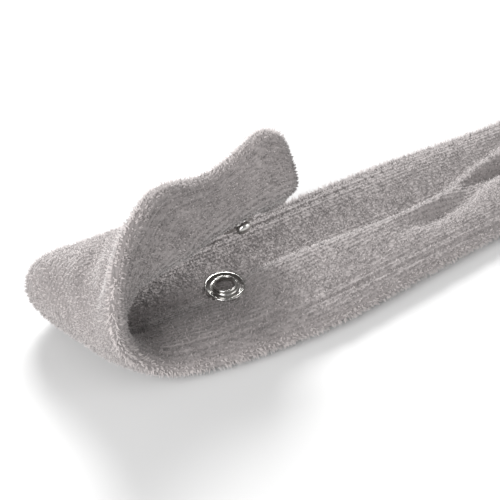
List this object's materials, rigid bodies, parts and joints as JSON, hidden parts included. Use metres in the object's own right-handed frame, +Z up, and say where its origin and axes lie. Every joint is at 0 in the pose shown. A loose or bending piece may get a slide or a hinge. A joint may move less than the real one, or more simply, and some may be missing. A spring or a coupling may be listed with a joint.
{
  "type": "padded snap strap",
  "caption": "Padded strap of grey knitted velour with a snap-closed loop at each end; one loop is snapped shut and the other peeled open.",
  "frame": {"origin": "middle of the strap on the surface that it lies on, halfway between the two sockets", "axes": "+X along the strap from the peeled loop to the snapped loop, +Y across it away from the viewer, +Z up out of its inner face"},
  "size_m": [0.269, 0.05, 0.0412],
  "materials": {
    "velour": "knitted velour with a soft pile, warm light grey",
    "wadding": "soft polyester wadding",
    "patch_cloth": "plain woven reinforcing cloth",
    "plated_steel": "bright nickel plate",
    "spring_steel": "plain spring wire"
  },
  "bodies": {
    "middle": {"middle_inner_velour": "velour", "middle_wadding": "wadding", "middle_outer_velour": "velour", "left_socket": "plated_steel", "left_socket_spring": "spring_steel", "left_socket_prong_ring": "plated_steel", "left_socket_patch": "patch_cloth", "right_socket": "plated_steel", "right_socket_spring": "spring_steel", "right_socket_prong_ring": "plated_steel", "right_socket_patch": "patch_cloth"},
    "left_fold_lower": {"left_fold_lower_inner_velour": "velour", "left_fold_lower_wadding": "wadding", "left_fold_lower_outer_velour": "velour"},
    "left_fold_upper": {"left_fold_upper_inner_velour": "velour", "left_fold_upper_wadding": "wadding", "left_fold_upper_outer_velour": "velour"},
    "left_flap": {"left_flap_inner_velour": "velour", "left_flap_wadding": "wadding", "left_flap_outer_velour": "velour", "left_stud": "plated_steel", "left_stud_prong_ring": "plated_steel", "left_stud_patch": "patch_cloth"},
    "right_fold_lower": {"right_fold_lower_inner_velour": "velour", "right_fold_lower_wadding": "wadding", "right_fold_lower_outer_velour": "velour"},
    "right_fold_upper": {"right_fold_upper_inner_velour": "velour", "right_fold_upper_wadding": "wadding", "right_fold_upper_outer_velour": "velour"},
    "right_flap": {"right_flap_inner_velour": "velour", "right_flap_wadding": "wadding", "right_flap_outer_velour": "velour", "right_stud": "plated_steel", "right_stud_prong_ring": "plated_steel", "right_stud_patch": "patch_cloth"}
  },
  "joints": [
    {"name": "left_fold_open", "type": "hinge", "parent": "middle", "child": "left_fold_lower", "pos_m": [-0.12197, 0.00906, 0.00408], "axis": [0.2416, -0.97, 0.0267], "range_deg": [-3, 50], "deforming": ["left_fold_lower_inner_velour", "left_fold_lower_wadding", "left_fold_lower_outer_velour"]},
    {"name": "left_fold_open_crown", "type": "hinge", "parent": "left_fold_lower", "child": "left_fold_upper", "pos_m": [-0.1265, 0.01024, 0.01128], "axis": [0.1397, -0.9702, 0.1978], "range_deg": [-3, 50], "deforming": ["left_fold_upper_inner_velour", "left_fold_upper_wadding", "left_fold_upper_outer_velour"]},
    {"name": "left_fold_open_flap", "type": "hinge", "parent": "left_fold_upper", "child": "left_flap", "pos_m": [-0.12256, 0.01248, 0.01859], "axis": [0.229, -0.9033, 0.3627], "range_deg": [-3, 50]},
    {"name": "right_fold_open", "type": "hinge", "parent": "middle", "child": "right_fold_lower", "pos_m": [0.13127, 0, 0.00424], "axis": [0, 1, 0], "range_deg": [0, 60], "deforming": ["right_fold_lower_inner_velour", "right_fold_lower_wadding", "right_fold_lower_outer_velour"]},
    {"name": "right_fold_open_crown", "type": "hinge", "parent": "right_fold_lower", "child": "right_fold_upper", "pos_m": [0.13492, 0, 0.01195], "axis": [0, 1, 0], "range_deg": [0, 60], "deforming": ["right_fold_upper_inner_velour", "right_fold_upper_wadding", "right_fold_upper_outer_velour"]},
    {"name": "right_fold_open_flap", "type": "hinge", "parent": "right_fold_upper", "child": "right_flap", "pos_m": [0.12951, 0, 0.01855], "axis": [0, 1, 0], "range_deg": [0, 60]}
  ],
  "couplings": [
    {"joint": "left_fold_open_crown", "follows": "left_fold_open", "ratio": 1},
    {"joint": "left_fold_open_flap", "follows": "left_fold_open", "ratio": 1},
    {"joint": "right_fold_open_crown", "follows": "right_fold_open", "ratio": 1},
    {"joint": "right_fold_open_flap", "follows": "right_fold_open", "ratio": 1}
  ]
}
